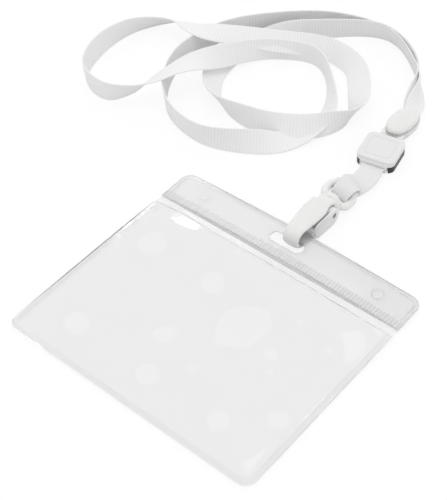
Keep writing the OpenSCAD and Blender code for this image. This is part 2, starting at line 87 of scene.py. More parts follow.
RIB_FILM_PITCH = 1.35            # welded ribs of the header
WAVE_SCALE = 0.3142              # scale of Blender's wave texture that gives one band per unit of length
PLASTIC_GRAIN, PLASTIC_GRAIN_MM = 900.0, 0.004

# Ribbon route: x, y, z in metres and the roll in degrees, the points of the CAD tube
ROUTE = [
    (-0.0018, 0.1253, 0.0039, 90), (-0.0071, 0.1385, 0.0048, 8), (-0.0188, 0.1537, 0.0045, 22),
    (-0.038, 0.1638, 0.0045, 25), (-0.06, 0.1601, 0.0046, 22), (-0.082, 0.1428, 0.005, 6),
    (-0.098, 0.1198, 0.005, -8), (-0.101, 0.0958, 0.005, -10), (-0.0835, 0.0693, 0.005, -3),
    (-0.061, 0.0648, 0.005, 3), (-0.0445, 0.0733, 0.004, 35), (-0.034, 0.0858, 0.0014, 82),
    (-0.0296, 0.1053, 0.0018, 125), (-0.0375, 0.1191, 0.0046, 165), (-0.0553, 0.1317, 0.005, 180),
    (-0.071, 0.1248, 0.0055, 172), (-0.0845, 0.1038, 0.0085, 140), (-0.0907, 0.0838, 0.0123, 79),
    (-0.0959, 0.0743, 0.0096, 62), (-0.1022, 0.0669, 0.0064, 30), (-0.1102, 0.0613, 0.005, 4),
    (-0.126, 0.0643, 0.0049, 4), (-0.1343, 0.0818, 0.0049, 10), (-0.131, 0.1028, 0.0047, -17),
    (-0.121, 0.1138, 0.0048, -45), (-0.099, 0.1118, 0.0105, -94), (-0.075, 0.1248, 0.0086, -120),
    (-0.048, 0.1393, 0.0046, -136), (-0.039, 0.1373, 0.0043, -125), (-0.0276, 0.1258, 0.003, -113),
    (-0.0204, 0.1096, 0.0044, -160), (-0.0275, 0.0978, 0.0046, -214), (-0.05, 0.0848, 0.0046, -203),
    (-0.071, 0.0858, 0.0045, -150), (-0.0825, 0.0968, 0.003, -125), (-0.086, 0.1208, 0.0012, -98),
    (-0.066, 0.1463, 0.0046, -170), (-0.0393, 0.163, 0.0049, -192), (-0.0136, 0.1483, 0.0049, -184),
    (-0.0018, 0.1253, 0.0029, -270)]
RIBBON_W, RIBBON_T, RIB_PITCH = 10.0, 0.7, 1.3


# ---------------------------------------------------------------- materials
def material(name):
    m = bpy.data.materials.new(name)
    m.use_nodes = True
    nt = m.node_tree
    return m, nt, nt.nodes["Principled BSDF"]


def node(nt, kind, **values):
    n = nt.nodes.new(kind)
    for k, v in values.items():
        if k in n.inputs:
            n.inputs[k].default_value = v
        else:
            setattr(n, k, v)
    return n


def bump(nt, bsdf, height, strength, distance):
    b = node(nt, "ShaderNodeBump", Strength=strength, Distance=distance)
    nt.links.new(height, b.inputs["Height"])
    nt.links.new(b.outputs["Normal"], bsdf.inputs["Normal"])


def calc(nt, operation, *inputs):
    """Math node of the inputs, each a socket or a number."""
    n = node(nt, "ShaderNodeMath", operation=operation)
    for i, value in enumerate(inputs):
        if isinstance(value, float):
            n.inputs[i].default_value = value
        else:
            nt.links.new(value, n.inputs[i])
    return n.outputs[0]


def between(nt, value, low, high, **kind):
    """0 at low and 1 at high."""
    n = node(nt, "ShaderNodeMapRange", **kind)
    n.inputs["From Min"].default_value = low
    n.inputs["From Max"].default_value = high
    nt.links.new(value, n.inputs["Value"])
    return n.outputs[0]


def tinted(nt, bsdf, factor, plain, changed):
    """Base colour that goes from plain to changed by factor."""
    mix = node(nt, "ShaderNodeMix", data_type="RGBA")
    nt.links.new(factor, mix.inputs[0])
    mix.inputs[6].default_value = (*plain, 1)
    mix.inputs[7].default_value = (*changed, 1)
    nt.links.new(mix.outputs[2], bsdf.inputs["Base Color"])


def object_noise(nt, scale, detail=3.0):
    tc = node(nt, "ShaderNodeTexCoord")
    n = node(nt, "ShaderNodeTexNoise", Scale=scale, Detail=detail)
    nt.links.new(tc.outputs["Object"], n.inputs["Vector"])
    return n


def plastic(name, color, rough, tone=0.015, through=0.0):
    """Moulded plastic with a fine grain. tone is how far its colour varies, through how much light goes into it."""
    m, nt, bsdf = material(name)
    bsdf.inputs["Roughness"].default_value = rough
    bsdf.inputs["IOR"].default_value = 1.49
    bsdf.inputs["Subsurface Weight"].default_value = through
    bsdf.inputs["Subsurface Radius"].default_value = (1.0, 1.0, 1.0)
    bsdf.inputs["Subsurface Scale"].default_value = 3.0 * MM
    n = object_noise(nt, 60.0)
    ramp = node(nt, "ShaderNodeValToRGB")
    ramp.color_ramp.elements[0].color = (*[c * (1 - tone) for c in color], 1)
    ramp.color_ramp.elements[1].color = (*color, 1)
    nt.links.new(n.outputs["Fac"], ramp.inputs["Fac"])
    nt.links.new(ramp.outputs["Color"], bsdf.inputs["Base Color"])
    bump(nt, bsdf, object_noise(nt, PLASTIC_GRAIN, 2.0).outputs["Fac"], 0.6, PLASTIC_GRAIN_MM * MM)
    return m


def cling_mask(nt, patches):
    """1 in the places (x, y, half width, half height, turn) where both films cling together, with wavy edges."""
    tc = node(nt, "ShaderNodeTexCoord")
    wobble = node(nt, "ShaderNodeTexNoise", Scale=90.0, Detail=1.0)
    nt.links.new(tc.outputs["Object"], wobble.inputs["Vector"])
    mask = None
    for x, y, half_w, half_h, turn in patches:
        mp = node(nt, "ShaderNodeMapping", vector_type="TEXTURE")
        mp.inputs["Location"].default_value = (x * MM, y * MM, 0)
        mp.inputs["Rotation"].default_value = (0, 0, math.radians(turn))
        mp.inputs["Scale"].default_value = (half_w * MM, half_h * MM, 1)
        nt.links.new(tc.outputs["Object"], mp.inputs["Vector"])
        sep = node(nt, "ShaderNodeSeparateXYZ")
        nt.links.new(mp.outputs["Vector"], sep.inputs["Vector"])
        xx = calc(nt, "MULTIPLY", sep.outputs["X"], sep.outputs["X"])
        r2 = calc(nt, "MULTIPLY_ADD", sep.outputs["Y"], sep.outputs["Y"], xx)
        wavy = calc(nt, "MULTIPLY_ADD", wobble.outputs["Fac"], 0.9, r2)
        inside = between(nt, wavy, 1.47, 1.43)
        mask = inside if mask is None else calc(nt, "MAXIMUM", mask, inside)
    return mask


def painted_rib_shade(nt, low, high, pitch):
    """Painted shade for the welded ribs across a band from low to high y: darker between the ribs, where shade
    falls, nothing outside the band.
    """
    tc = node(nt, "ShaderNodeTexCoord")
    ribs = node(nt, "ShaderNodeTexWave", wave_type="BANDS", bands_direction="X", Scale=WAVE_SCALE / (pitch * MM))
    nt.links.new(tc.outputs["Object"], ribs.inputs["Vector"])
    sep = node(nt, "ShaderNodeSeparateXYZ")
    nt.links.new(tc.outputs["Object"], sep.inputs["Vector"])
    soft = {"interpolation_type": "SMOOTHSTEP"}
    rise = between(nt, sep.outputs["Y"], (low - 0.1) * MM, (low + 0.3) * MM, **soft)
    fall = between(nt, sep.outputs["Y"], (high + 0.1) * MM, (high - 0.3) * MM, **soft)
    in_band = calc(nt, "MULTIPLY", rise, fall)
    return calc(nt, "MULTIPLY", calc(nt, "ADD", ribs.outputs["Fac"], 0.05), in_band)


def vinyl(name, tint, rough, wave_mm, patches=(), gloss=0.04, rib_shade_band=None, clear=1.0, ior=1.06):
    """Clear film. patches are places of cling_mask, and the band of painted rib shade is (low y, high y, pitch) of
    the painted shade between welded ribs.
    """
    m, nt, bsdf = material(name)
    bsdf.inputs["Transmission Weight"].default_value = clear
    bsdf.inputs["Roughness"].default_value = rough
    bsdf.inputs["IOR"].default_value = ior
    bsdf.inputs["Coat Weight"].default_value = 1.0
    bsdf.inputs["Coat Roughness"].default_value = gloss
    bsdf.inputs["Coat IOR"].default_value = 1.5
    if patches:
        tinted(nt, bsdf, cling_mask(nt, patches), tint, [min(1.0, c * 1.022) for c in tint])
    elif rib_shade_band:
        # painted shade: the colour is darker between the welded ribs
        tinted(nt, bsdf, painted_rib_shade(nt, *rib_shade_band), tint, [c * 0.83 for c in tint])
    else:
        bsdf.inputs["Base Color"].default_value = (*tint, 1)
    if wave_mm:
        bump(nt, bsdf, object_noise(nt, 55.0).outputs["Fac"], 1.0, wave_mm * MM)
    return m


def woven(name, color, depth=0.06):
    """Ribbon. Its ribs are in the mesh; painted shade between them, a random tone and the threads along it are in
    the material.
    """
    m, nt, bsdf = material(name)
    bsdf.inputs["Roughness"].default_value = 0.62
    bsdf.inputs["Sheen Weight"].default_value = 0.15
    bsdf.inputs["Sheen Roughness"].default_value = 0.4
    bsdf.inputs["Specular IOR Level"].default_value = 0.35
    uv = node(nt, "ShaderNodeUVMap")
    uv.uv_map = "run"
    # painted shade: the colour is darker in the grooves between the ribs; depth sets how far it and the random tone
    # darken it
    groove = node(nt, "ShaderNodeTexWave", wave_type="BANDS", bands_direction="Y")
    groove.inputs["Scale"].default_value = WAVE_SCALE / RIB_PITCH
    groove.inputs["Distortion"].default_value = 0.25
    groove.inputs["Phase Offset"].default_value = math.pi
    nt.links.new(uv.outputs["UV"], groove.inputs["Vector"])
    wave = node(nt, "ShaderNodeTexWave", wave_type="BANDS", bands_direction="X")
    wave.inputs["Scale"].default_value = 0.8
    wave.inputs["Distortion"].default_value = 0.8
    nt.links.new(uv.outputs["UV"], wave.inputs["Vector"])
    big = node(nt, "ShaderNodeTexNoise", Scale=0.35, Detail=2.0)
    nt.links.new(uv.outputs["UV"], big.inputs["Vector"])
    tone = calc(nt, "MULTIPLY_ADD", big.outputs["Fac"], 0.3, groove.outputs["Fac"])
    ramp = node(nt, "ShaderNodeValToRGB")
    ramp.color_ramp.elements[0].color = (*[c * (1 - depth) for c in color], 1)
    ramp.color_ramp.elements[1].color = (*color, 1)
    ramp.color_ramp.elements[1].position = 0.8
    nt.links.new(tone, ramp.inputs["Fac"])
    nt.links.new(ramp.outputs["Color"], bsdf.inputs["Base Color"])
    bump(nt, bsdf, wave.outputs["Fac"], 0.4, 0.02 * MM)
    return m


def metal(name, color, rough):
    m, nt, bsdf = material(name)
    bsdf.inputs["Metallic"].default_value = 1.0
    bsdf.inputs["Base Color"].default_value = (*color, 1)
    bsdf.inputs["Roughness"].default_value = rough
    bump(nt, bsdf, object_noise(nt, 1500.0, 2.0).outputs["Fac"], 0.5, 0.003 * MM)
    return m


WHITE = plastic("white_plastic", (0.88, 0.88, 0.87), 0.32, through=0.6)
COVER = plastic("cover_plastic", (0.84, 0.84, 0.84), 0.4)
BLACK = plastic("black_plastic", (0.012, 0.010, 0.010), 0.38, tone=0.2)
STEEL = metal("pin_steel", (0.25, 0.25, 0.26), 0.45)
SPRING = metal("spring_steel", (0.6, 0.6, 0.62), 0.3)
RIBBON = woven("woven_ribbon", (0.95, 0.95, 0.95))
# painted shade: a darker copy of the ribbon's material for the tab strap, which is the same ribbon
TAB_RIBBON_PAINTED_SHADE = woven("tab_ribbon", (0.86, 0.86, 0.86), depth=0.04)
THREAD = plastic("thread", (0.9, 0.9, 0.9), 0.7, tone=0.05)
PATCHES = [
    (12.3, 0.2, 11.0, 8.6, 80), (-9.0, 9.4, 5.0, 4.2, -47), (-39.3, 10.3, 5.6, 5.0, 15),
    (-34.6, -34.0, 5.1, 4.4, -30), (-6.9, -18.8, 4.2, 3.6, 20), (-0.2, -35.5, 4.6, 4.2, -30),
    (31.1, -35.1, 4.3, 3.8, -45), (46.1, -22.6, 3.6, 3.4, 40), (27.8, -3.2, 2.5, 2.3, -45),
    (9.9, -24.4, 1.7, 1.5, 0), (-10.2, 25.0, 1.6, 1.4, 0), (27.3, 14.0, 1.4, 1.3, 0),
    (42.3, 10.4, 1.8, 1.6, 0), (32.0, -9.3, 1.3, 1.2, 0), (27.5, 26.9, 1.4, 1.4, 0)]
FRONT = vinyl("clear_vinyl_front", (0.955, 0.955, 0.958), 0.0, 0.02, PATCHES)
BACK = vinyl("clear_vinyl_back", (0.915, 0.915, 0.918), 0.0, 0.015)
# the header's welded ribs get painted shade between them
HEADER = vinyl("welded_vinyl", (0.915, 0.915, 0.915), 0.1, 0.01, gloss=0.12,
               rib_shade_band=(HEADER_Y - DRAW_Y, HEADER_Y + 2.6, RIB_FILM_PITCH), clear=0.7)
RIM = vinyl("weld_vinyl", (0.99, 0.99, 0.99), 0.0, 0.0, gloss=0.1, ior=1.03)
# painted shade: the beads' darker tint stands for the dark lines that refraction draws along the welds
BEAD_PAINTED_SHADE = vinyl("bead_vinyl", (0.88, 0.88, 0.885), 0.0, 0.0, gloss=0.08, ior=1.03)


# ---------------------------------------------------------------- mesh helpers
def add_mesh(name, verts, faces, mat, smooth=True):
    """Object with a mesh given in mm."""
    me = bpy.data.meshes.new(name)
    me.from_pydata([tuple(float(c) * MM for c in v) for v in verts], [], [tuple(int(i) for i in f) for f in faces])
    me.validate()
    me.update()
    ob = bpy.data.objects.new(name, me)
    scene.collection.objects.link(ob)
    if mat is not None:
        me.materials.append(mat)
    if smooth:
        me.shade_smooth()
    return ob


def outward(ob):
    bm = bmesh.new()
    bm.from_mesh(ob.data)
    bmesh.ops.recalc_face_normals(bm, faces=bm.faces)
    bm.to_mesh(ob.data)
    bm.free()
    return ob


def applied(ob):
    """Applies the modifiers of ob."""
    dg = bpy.context.evaluated_depsgraph_get()
    me = bpy.data.meshes.new_from_object(ob.evaluated_get(dg))
    ob.modifiers.clear()
    ob.data = me
    return me


def settle(ob, voxel, smooth):
    """Makes one closed skin of the overlapping pieces of ob, with rounded edges."""
    r = ob.modifiers.new("skin", "REMESH")
    r.mode = "VOXEL"
    r.voxel_size = voxel * MM
    r.use_smooth_shade = True
    s = ob.modifiers.new("soft", "SMOOTH")
    s.iterations = smooth
    s.factor = 0.5
    old = ob.data
    me = applied(ob)
    if not me.materials and old.materials:
        me.materials.append(old.materials[0])
    me.shade_smooth()
    return ob


def joined(name, parts, mat):
    """One object with the meshes of parts, which are (verts, faces) in mm."""
    verts, faces = [], []
    for v, f in parts:
        k = len(verts)
        verts += [tuple(p) for p in v]
        faces += [tuple(i + k for i in q) for q in f]
    return outward(add_mesh(name, verts, faces, mat))


def merge(ob, other):
    """Adds the mesh of other to ob and removes other."""
    b = bmesh.new()
    b.from_mesh(ob.data)
    b.from_mesh(other.data)
    b.to_mesh(ob.data)
    b.free()
    bpy.data.objects.remove(other)


def tube_faces(rings, n, closed=False):
    """Quads between rings of n points. A tube that isn't closed gets flat ends."""
    faces = []
    for i in range(rings if closed else rings - 1):
        for k in range(n):
            j, q = (k + 1) % n, (i + 1) % rings
            faces.append((i * n + k, i * n + j, q * n + j, q * n + k))
    if not closed:
        faces += [tuple(range(n - 1, -1, -1)), tuple(range((rings - 1) * n, rings * n))]
    return faces


def prism_faces(n):
    """Ends and sides between two outlines of n points."""
    sides = [(k, (k + 1) % n, n + (k + 1) % n, n + k) for k in range(n)]
    return [tuple(range(n - 1, -1, -1)), tuple(range(n, 2 * n))] + sides


def box(x0, x1, y0, y1, z0, z1):
    v = [(x, y, z) for z in (z0, z1) for y in (y0, y1) for x in (x0, x1)]
    f = [(0, 2, 3, 1), (4, 5, 7, 6), (0, 1, 5, 4), (2, 6, 7, 3), (0, 4, 6, 2), (1, 3, 7, 5)]
    return v, f


def lathe(axis, centre, profile, n=48):
    """Solid of revolution. profile is (along, radius) pairs; axis is 0, 1 or 2."""
    verts = []
    u, w = [(1, 2), (2, 0), (0, 1)][axis]
    for a, r in profile:
        for k in range(n):
            t = 2 * math.pi * k / n
            p = [0, 0, 0]
            p[axis] = centre[axis] + a
            p[u] = centre[u] + r * math.cos(t)
            p[w] = centre[w] + r * math.sin(t)
            verts.append(tuple(p))
    return verts, tube_faces(len(profile), n)


def prism(outline, lo, hi, axis=0, at=(0, 0, 0)):
    """Outline of 2-D points (the two other axes in order) drawn out along axis from lo to hi."""
    u, w = [(1, 2), (0, 2), (0, 1)][axis]
    verts = []
    for a in (lo, hi):
        for p in outline:
            q = [0, 0, 0]
            q[axis] = at[axis] + a
            q[u] = at[u] + p[0]
            q[w] = at[w] + p[1]
            verts.append(tuple(q))
    return verts, prism_faces(len(outline))


def round_box(w, l, r, n=10):
    """Outline of a rectangle with round corners, centred."""
    out = []
    x, y = w / 2 - r, l / 2 - r
    for cx, cy, a0 in ((x, y, 0), (-x, y, 90), (-x, -y, 180), (x, -y, 270)):
        for k in range(n + 1):
            t = math.radians(a0 + 90 * k / n)
            out.append((cx + r * math.cos(t), cy + r * math.sin(t)))
    return out


def spline(pts, step):
    """Smooth run through points of any width, about one point each step of the first three numbers."""
    p = np.array(pts, float)
    d = np.linalg.norm(np.diff(p[:, :3], axis=0), axis=1)
    s = np.diff(p, axis=0) / d[:, None]
    m = np.zeros_like(p)
    m[0], m[-1] = s[0], s[-1]
    for i in range(1, len(p) - 1):
        m[i] = (s[i] * d[i - 1] + s[i - 1] * d[i]) / (d[i] + d[i - 1])
    out = []
    for i in range(len(p) - 1):
        k = max(2, int(round(d[i] / step)))
        t = (np.arange(k) / k)[:, None]
        out.append((2 * t**3 - 3 * t**2 + 1) * p[i] + (t**3 - 2 * t**2 + t) * d[i] * m[i]
                   + (3 * t**2 - 2 * t**3) * p[i + 1] + (t**3 - t**2) * d[i] * m[i + 1])
    return np.vstack(out + [p[-1:]])


def even(q, step):
    """The same run with points at equal steps of length."""
    s = np.concatenate([[0], np.cumsum(np.linalg.norm(np.diff(q[:, :3], axis=0), axis=1))])
    n = max(2, int(round(s[-1] / step)))
    at = np.linspace(0, s[-1], n + 1)
    return np.stack([np.interp(at, s, q[:, k]) for k in range(q.shape[1])], 1), at


def strip(name, centre, wide, at, mat, width=RIBBON_W, thick=RIBBON_T, rib_mm=0.12, gather=(0, 0), seed=0.0):
    """Ribbon with woven ribs across it.

    centre are its points in mm, wide the unit vectors across it and at the length so far. rib_mm is the ribs' depth,
    and gather is (reach, share) of how far each end narrows."""
    t = np.gradient(centre, axis=0)
    t /= np.linalg.norm(t, axis=1)[:, None]
    up = np.cross(t, wide)
    up /= np.linalg.norm(up, axis=1)[:, None]
    reach, share = gather
    across = [-1.0, -0.985, -0.94, -0.8, -0.5, -0.17, 0.17, 0.5, 0.8, 0.94, 0.985, 1.0]
    full = [0.25, 0.72, 1.0, 0.9, 0.9, 0.9, 0.9, 0.9, 0.9, 1.0, 0.72, 0.25]
    ring = [(a, f) for a, f in zip(across, full)] + [(a, -f) for a, f in zip(across[::-1], full[::-1])]
    depth = np.broadcast_to(rib_mm, len(centre))
    verts, uvs = [], []
    for i, deep in enumerate(depth):
        phase = math.cos(2 * math.pi * at[i] / RIB_PITCH)
        k = 1.0
        if reach:
            k *= 1 - share * max(0, 1 - at[i] / reach)**2 - share * max(0, 1 - (at[-1] - at[i]) / reach)**2
        edge = 0.04 * math.cos(2 * math.pi * at[i] / RIB_PITCH + 1.0)
        cup = 0.12 * noise.noise(Vector((at[i] * 0.05, seed, 0.3)))
        for a, f in ring:
            half = width / 2 * k + edge
            at_edge = 0.6 if abs(a) > 0.9 else 1
            h = (thick / 2 - deep / 2) * f + math.copysign(deep / 2 * phase * at_edge, f) * min(1, abs(f))
            h += cup * (1 - a * a)
            verts.append(centre[i] + wide[i] * a * half + up[i] * h)
            uvs.append((a * half, at[i]))
    ob = outward(add_mesh(name, verts, tube_faces(len(centre), len(ring)), mat))
    uv = ob.data.uv_layers.new(name="run")
    for loop in ob.data.loops:
        uv.data[loop.index].uv = uvs[loop.vertex_index]
    return ob


# ---------------------------------------------------------------- neck ribbon (first: the free cord)
run = spline([(x * 1000, y * 1000, z * 1000, r) for x, y, z, r in ROUTE], 0.5)
run, run_at = even(run, 0.24)
tangent = np.gradient(run[:, :3], axis=0)
tangent /= np.linalg.norm(tangent, axis=1)[:, None]
left = np.stack([-tangent[:, 1], tangent[:, 0], 0 * tangent[:, 0]], 1)
left /= np.linalg.norm(left, axis=1)[:, None]
rise = np.cross(tangent, left)
roll = np.radians(run[:, 3])[:, None]
wide = np.cos(roll) * rise + np.sin(roll) * left
# the lower edge is kept on the surface
low = run[:, 2] - np.abs(wide[:, 2]) * RIBBON_W / 2 - 0.35 * np.abs(np.cross(tangent, wide)[:, 2])
lift = np.maximum(0, 0.05 - low)
kernel = np.hanning(61)
lift = np.maximum(lift, np.convolve(np.pad(lift, 30, mode="edge"), kernel / kernel.sum(), mode="valid"))
run[:, 2] += lift
neck = strip("neck_ribbon", run[:, :3], wide, run_at, RIBBON, gather=(14.0, 0.5), seed=3.1)
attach(neck, "lanyard")
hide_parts("neck_strap")


# ---------------------------------------------------------------- wallet films
def ease(a, b, v):
    u = min(1.0, max(0.0, (v - a) / (b - a)))
    return u * u * (3 - 2 * u)


def header_lift(x, y):
    """Height of the header's underside: raised where it hangs on the hook, low at both ends."""
    u = abs(x - HOOK_X)
    roof = 0.15 + 2.5 * max(0.0, 1 - math.sqrt(u * u + 4) / HALF_RISE)
    arch = 0.15 + 2.2 * max(0.0, 1 - (u / HALF_RISE)**3)
    k = ease(31, 47, y)
    return arch + (roof - arch) * k


def back_z(x, y):
    s = ease(5.55, 27.55, y)
    flat = 0.10 * (0.5 + 0.5 * noise.noise(Vector((x * 0.03, y * 0.03, 1.7))))
    return flat * (1 - s) + s * header_lift(x, y)


def draw_in(ob):
    """Moves the upper part of the wallet a little to the right and down, as the rise to the hook draws it in."""
    for v in ob.data.vertices:
        k = ease(-5, 32, v.co.y / MM)
        v.co.x += DRAW_X * MM * k
        v.co.y -= DRAW_Y * MM * k


def inside_d(x, y):
    """Distance inwards from the wallet's outline."""
    qx, qy = abs(x) - (POUCH_W / 2 - CORNER_R), abs(y) - (POUCH_H / 2 - CORNER_R)
    out = math.hypot(max(qx, 0), max(qy, 0)) + min(max(qx, qy), 0) - CORNER_R
    return -out


def gap(x, y):
    """Space between the films: nothing at the weld, wider inside and most at the upper left corner."""
    d = min(POUCH_W / 2 - abs(x), y + POUCH_H / 2)
    body = 0.25 + 0.55 * ease(2.2, 9.0, d)
    corner = math.exp(-(((x + 41) / 11)**2 + ((y - 22) / 9)**2))
    mouth = ease(10, 29, y) * ease(2.4, 12, d)
    return body + 1.5 * corner * ease(2.2, 6.5, d) + 0.5 * mouth


def bump_ring(d, at, width, height):
    """Smooth bump of the given width at distance at."""
    u = (d - at) / (width / 2)
    return height * (1 + math.cos(math.pi * u)) / 2 if abs(u) < 1 else 0.0


def front_extra(x, y):
    """Welded line round the pocket and the groove inside it."""
    d = min(POUCH_W / 2 - abs(x), y + POUCH_H / 2)
    return bump_ring(d, 2.0, 0.8, 0.16) - bump_ring(d, 2.75, 0.7, 0.05)


def lines(a, b, edge, fine, coarse, both=True):
    """Grid lines from a to b, fine within edge of a (and of b), coarse between."""
    out = list(np.arange(a, min(b, a + edge), fine))
    stop = b - edge if both else b
    out += list(np.arange(out[-1] + fine, stop, coarse))
    if both:
        out += list(np.arange(out[-1] + fine, b, fine))
    return [v for v in out if v < b - fine * 0.3]


def sheet_mesh(name, mat, outline, hole, xs, ys, low_z, high_z):
    """Film between two height fields, with an outline and one hole, as a closed mesh."""
    pts, edges = [], []
    for loop in [outline] + ([hole] if hole else []):
        k = len(pts)
        pts += [Vector(p) for p in loop]
        edges += [(k + i, k + (i + 1) % len(loop)) for i in range(len(loop))]
    ox = [p[0] for p in outline]
    oy = [p[1] for p in outline]

    def clear(x, y, margin):
        if POUCH_W / 2 - CORNER_R < abs(x) or POUCH_H / 2 - CORNER_R < abs(y):
            if inside_d(x, y) < margin:
                return False
        if not (min(oy) + margin < y < max(oy) - margin and min(ox) + margin < x < max(ox) - margin):
            return False
        if hole:
            qx = abs(x) - (SLOT_L - SLOT_H) / 2
            if math.hypot(max(qx, 0), y - SLOT_Y) < SLOT_H / 2 + margin:
                return False
        return True

    for x in xs:
        for y in ys:
            if clear(x, y, 0.08):
                pts.append(Vector((x, y)))
    co, _, fa = geometry.delaunay_2d_cdt(pts, edges, [], 0, 1e-5)[:3]
    keep = []
    for f in fa:
        cx, cy = sum(co[i][0] for i in f) / 3, sum(co[i][1] for i in f) / 3
        if clear(cx, cy, 0.0005):
            keep.append(tuple(f))
    n = len(co)
    verts = [(p[0], p[1], low_z(p[0], p[1])) for p in co] + [(p[0], p[1], high_z(p[0], p[1])) for p in co]
    faces = []
    sides = {}
    for f in keep:
        a, b, c = f
        if (co[b][0] - co[a][0]) * (co[c][1] - co[a][1]) - (co[b][1] - co[a][1]) * (co[c][0] - co[a][0]) < 0:
            f = (a, c, b)
        faces.append((f[0] + n, f[1] + n, f[2] + n))
        faces.append((f[2], f[1], f[0]))
        for i in range(3):
            sides[f[i], f[(i + 1) % 3]] = True
    for a, b in sides:
        if (b, a) not in sides:
            faces.append((a, b, b + n, a + n))
    used = sorted({i for f in faces for i in f})
    back = {v: i for i, v in enumerate(used)}
    ob = add_mesh(name, [verts[i] for i in used], [tuple(back[i] for i in f) for f in faces], mat)
    for p in ob.data.polygons:
        if abs(p.normal.z) < 0.5:
            p.use_smooth = False
    ob.data.set_sharp_from_angle(angle=math.radians(50))
    return ob


def outline_between(y0, y1):
    """The wallet's outline cut to y0..y1, counter-clockwise."""
    pts = round_box(POUCH_W, POUCH_H, CORNER_R, 12)
    pts = [p for p in pts if y0 <= p[1] <= y1]
    if y0 > -POUCH_H / 2:
        pts = [p for p in pts if p[0] > 0] + [p for p in pts if p[0] <= 0] + [(-POUCH_W / 2, y0), (POUCH_W / 2, y0)]
        pts = [pts[-1]] + pts[:-1]
    if y1 < POUCH_H / 2:
        low = [p for p in pts if p[0] <= 0]
        high = [p for p in pts if p[0] > 0]
        pts = [(POUCH_W / 2, y1), (-POUCH_W / 2, y1)] + low + high
    return pts


slot_outline = []
for side, a0 in ((1, -90), (-1, 90)):
    for k in range(17):
        t = math.radians(a0 + 180 * k / 16)
        slot_outline.append((side * (SLOT_L - SLOT_H) / 2 + SLOT_H / 2 * math.cos(t),
                             SLOT_Y + SLOT_H / 2 * math.sin(t)))

fine_x = lines(-POUCH_W / 2, POUCH_W / 2, 4.0, 0.2, 1.6)
body_y = lines(-POUCH_H / 2, FRONT_TOP, 4.0, 0.2, 1.6, both=False)
back_film = sheet_mesh(
    "back_film", BACK, round_box(POUCH_W, POUCH_H, CORNER_R, 12), slot_outline,
    lines(-POUCH_W / 2, POUCH_W / 2, 3.0, 0.5, 1.6), lines(-POUCH_H / 2, POUCH_H / 2, 3.0, 0.5, 1.4),
    back_z, lambda x, y: back_z(x, y) + FILM_T)


def front_low(x, y):
    return back_z(x, y) + FILM_T + gap(x, y)


front_film = sheet_mesh(
    "front_film", FRONT, outline_between(-99, FRONT_TOP), None, fine_x, body_y,
    front_low, lambda x, y: front_low(x, y) + FILM_T + front_extra(x, y))


def rib_band(x, y):
    """Height of the header's welded ribs."""
    top = HEADER_Y + 3.7
    if not (HEADER_Y < y < top) or abs(x) > POUCH_W / 2 - 2.6:
        return 0.0
    e = min(ease(HEADER_Y, HEADER_Y + 0.35, y), 1 - ease(top - 0.35, top, y))
    return 0.17 * e * (0.5 + 0.5 * math.cos(2 * math.pi * x / RIB_FILM_PITCH))


def header_top(x, y):
    z = back_z(x, y) + FILM_T + 0.02 + HEADER_T2
    z += rib_band(x, y)
    return z - 0.12 * (1 - ease(0.0, 0.5, inside_d(x, y)))


header_x = list(np.arange(-POUCH_W / 2 + 0.18, POUCH_W / 2 - 0.1, 0.22))
header_y = list(np.arange(HEADER_Y + 0.12, POUCH_H / 2 - 0.05, 0.24))
header_film = sheet_mesh(
    "header_film", HEADER, outline_between(HEADER_Y, 99), slot_outline, header_x, header_y,
    lambda x, y: back_z(x, y) + FILM_T + 0.02, header_top)


def rim_outline():
    """Outer and inner edge of the weld rim, a thin U between the films."""
    w, h, r, k = POUCH_W / 2 - 0.15, POUCH_H / 2 - 0.15, CORNER_R - 0.15, 2.3
    out = [(w, FRONT_TOP - 0.2)]
    inner = [(w - k, FRONT_TOP - 0.2)]
    for cx, cy, a0 in ((w - r, -h + r, 0), (-w + r, -h + r, -90)):
        for j in range(13):
            t = math.radians(a0 - 90 * j / 12)
            out.append((cx + r * math.cos(t), cy + r * math.sin(t)))
            inner.append((cx + (r - k) * math.cos(t), cy + (r - k) * math.sin(t)))
    out.append((-w, FRONT_TOP - 0.2))
    inner.append((-w + k, FRONT_TOP - 0.2))
    return out, inner


ro, ri = rim_outline()
pairs = []
for (a, b), (c, d) in zip(zip(ro[:-1], ri[:-1]), zip(ro[1:], ri[1:])):
    n = max(1, int(math.dist(a, c) / 2.0))
    pairs += [(tuple(np.array(a) + (np.array(c) - a) * i / n), tuple(np.array(b) + (np.array(d) - b) * i / n))
              for i in range(n)]
pairs.append((ro[-1], ri[-1]))
verts, faces = [], []
for o, i in pairs:
    for p in (o, i):
        z0 = back_z(*p) + FILM_T + 0.02
        z1 = front_low(*p) - 0.02
        verts += [(p[0], p[1], z0), (p[0], p[1], max(z0 + 0.05, z1))]
for k in range(len(pairs) - 1):
    a, b = 4 * k, 4 * k + 4
    faces += [(a, a + 1, b + 1, b), (a + 1, a + 3, b + 3, b + 1), (a + 3, a + 2, b + 2, b + 3), (a + 2, a, b, b + 2)]
faces += [(0, 2, 3, 1), (4 * len(pairs) - 4, 4 * len(pairs) - 3, 4 * len(pairs) - 1, 4 * len(pairs) - 2)]
weld_rim = outward(add_mesh("weld_rim", verts, faces, RIM, smooth=False))


def bead(path, r, z_at, closed=False, n=8):
    """Round welded line along 2-D points, at height z_at(x, y), as (verts, faces)."""
    p = np.array([(x, y, z_at(x, y)) for x, y in path], float)
    t = np.roll(p, -1, 0) - np.roll(p, 1, 0) if closed else np.gradient(p, axis=0)
    t /= np.linalg.norm(t, axis=1)[:, None]
    verts = []
    for q, d in zip(p, t):
        side = np.array([-d[1], d[0], 0]) / math.hypot(d[0], d[1])
        up = np.cross(d, side)
        for k in range(n):
            a = 2 * math.pi * k / n
            verts.append(tuple(q + r * (math.cos(a) * side + math.sin(a) * up)))
    return verts, tube_faces(len(p), n, closed)


